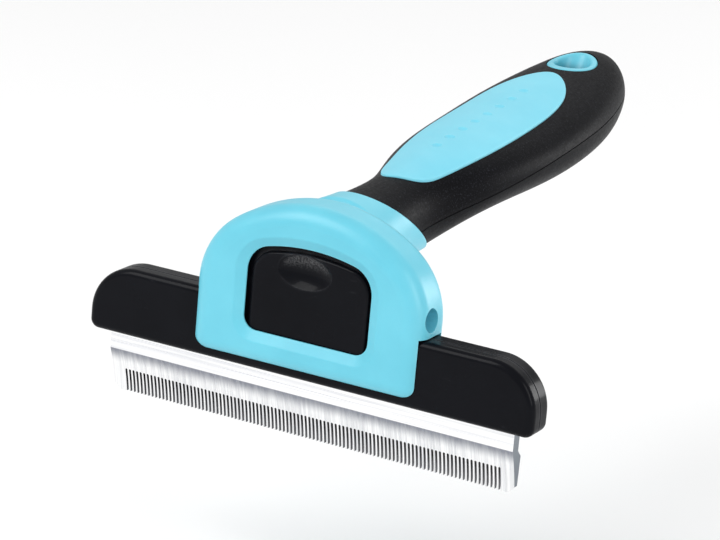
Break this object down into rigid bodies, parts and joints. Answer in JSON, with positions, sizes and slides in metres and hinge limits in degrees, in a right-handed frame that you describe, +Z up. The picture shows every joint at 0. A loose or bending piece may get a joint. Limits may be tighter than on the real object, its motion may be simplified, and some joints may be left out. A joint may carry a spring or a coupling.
{
  "type": "deshedding tool",
  "caption": "Pet deshedding rake: comb blade in a slide-out black cartridge, D-shaped coloured head and a waisted soft-grip handle with a hanging eyelet.",
  "frame": {"origin": "centre of the bounding box's base, which is the plane of the tooth tips", "axes": "+X along the blade, +Y from the head towards the butt of the handle, +Z up from the teeth through the head"},
  "size_m": [0.1106, 0.1546, 0.0666],
  "materials": {
    "coloured_plastic": "smooth satin moulding, sky-blue",
    "soft_inlay": "matte soft-touch, sky-blue",
    "grip_black": "fine-grained soft-touch black",
    "carrier_black": "satin black moulding",
    "core_nylon": "natural glass-filled nylon",
    "blade_steel": "brushed strip, ground and slotted edge",
    "screw_steel": "bright zinc",
    "catch_acetal": "natural acetal"
  },
  "bodies": {
    "handle": {"head_frame": "coloured_plastic", "handle_core": "core_nylon", "collar_screw": "screw_steel", "grip_upper_shell": "grip_black", "grip_lower_shell": "grip_black", "thumb_pad": "soft_inlay", "hanging_eyelet": "coloured_plastic", "grip_screws": "screw_steel"},
    "cartridge": {"carrier_front_shell": "carrier_black", "carrier_rear_shell": "carrier_black", "comb_blade": "blade_steel", "blade_pins": "screw_steel", "carrier_screws": "screw_steel", "catch_spring_left": "screw_steel", "catch_spring_right": "screw_steel"},
    "catch_left": {"catch_plunger_left": "catch_acetal"},
    "catch_right": {"catch_plunger_right": "catch_acetal"}
  },
  "joints": [
    {"name": "cartridge_release", "type": "slide", "parent": "handle", "child": "cartridge", "axis": [0, 0, -1], "range_m": [0, 0.03]},
    {"name": "catch_left_press", "type": "slide", "parent": "cartridge", "child": "catch_left", "axis": [1, 0, 0], "range_m": [0, 0.0012], "stiffness_N_per_m": 400, "springref_m": -0.002, "deforming": ["catch_spring_left"]},
    {"name": "catch_right_press", "type": "slide", "parent": "cartridge", "child": "catch_right", "axis": [-1, 0, 0], "range_m": [0, 0.0012], "stiffness_N_per_m": 400, "springref_m": -0.002, "deforming": ["catch_spring_right"]}
  ]
}
